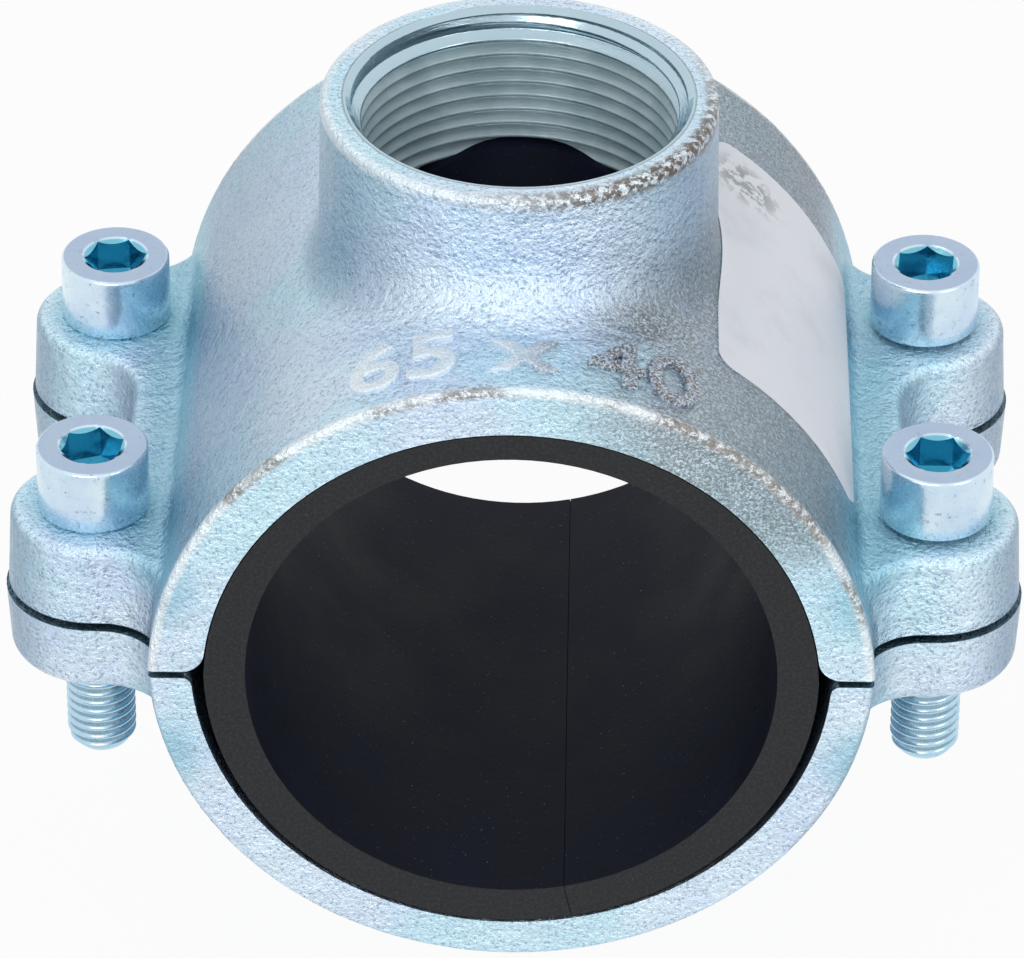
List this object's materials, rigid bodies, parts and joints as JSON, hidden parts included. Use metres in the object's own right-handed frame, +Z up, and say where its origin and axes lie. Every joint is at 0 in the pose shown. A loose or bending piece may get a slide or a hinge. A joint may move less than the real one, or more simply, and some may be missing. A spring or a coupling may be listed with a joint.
{
  "type": "mechanical tee",
  "caption": "Bolted two-half cast saddle clamp with a rubber liner and a threaded branch outlet, closed round a pipe's place by socket head cap screws.",
  "frame": {"origin": "middle of the clamp's length on the pipe run's axis", "axes": "+Y along the pipe run, +Z up through the branch outlet, +X across the lugs; the halves part at the plane Z = 0"},
  "size_m": [0.146, 0.098, 0.1159],
  "materials": {
    "zinc_casting": "zinc plated rough casting, blue-white",
    "liner_rubber": "matt black moulded rubber",
    "zinc_screw": "bright zinc plated steel, blue passivated"
  },
  "bodies": {
    "upper_body": {"upper_half": "zinc_casting", "rubber_liner": "liner_rubber"},
    "lower_body": {"lower_half": "zinc_casting"},
    "front_left_screw": {"cap_screw_front_left": "zinc_screw"},
    "front_right_screw": {"cap_screw_front_right": "zinc_screw"},
    "back_left_screw": {"cap_screw_back_left": "zinc_screw"},
    "back_right_screw": {"cap_screw_back_right": "zinc_screw"}
  },
  "joints": [
    {"name": "lower_half_drop", "type": "slide", "parent": "upper_body", "child": "lower_body", "axis": [0, 0, -1], "range_m": [0, 0.0255]},
    {"name": "front_left_screw_turn", "type": "hinge", "parent": "upper_body", "child": "front_left_screw", "pos_m": [-0.06, -0.025, 0.0128], "axis": [0, 0, 1], "range_deg": [0, 6121]},
    {"name": "front_right_screw_turn", "type": "hinge", "parent": "upper_body", "child": "front_right_screw", "pos_m": [0.06, -0.025, 0.0134], "axis": [0, 0, 1], "range_deg": [0, 6121]},
    {"name": "back_left_screw_turn", "type": "hinge", "parent": "upper_body", "child": "back_left_screw", "pos_m": [-0.06, 0.025, 0.0128], "axis": [0, 0, 1], "range_deg": [0, 6121]},
    {"name": "back_right_screw_turn", "type": "hinge", "parent": "upper_body", "child": "back_right_screw", "pos_m": [0.06, 0.025, 0.0134], "axis": [0, 0, 1], "range_deg": [0, 6121]}
  ],
  "couplings": [
    {"joint": "front_left_screw_turn", "follows": "lower_half_drop", "rad_per_m": 4188.8},
    {"joint": "front_right_screw_turn", "follows": "lower_half_drop", "rad_per_m": 4188.8},
    {"joint": "back_left_screw_turn", "follows": "lower_half_drop", "rad_per_m": 4188.8},
    {"joint": "back_right_screw_turn", "follows": "lower_half_drop", "rad_per_m": 4188.8}
  ]
}
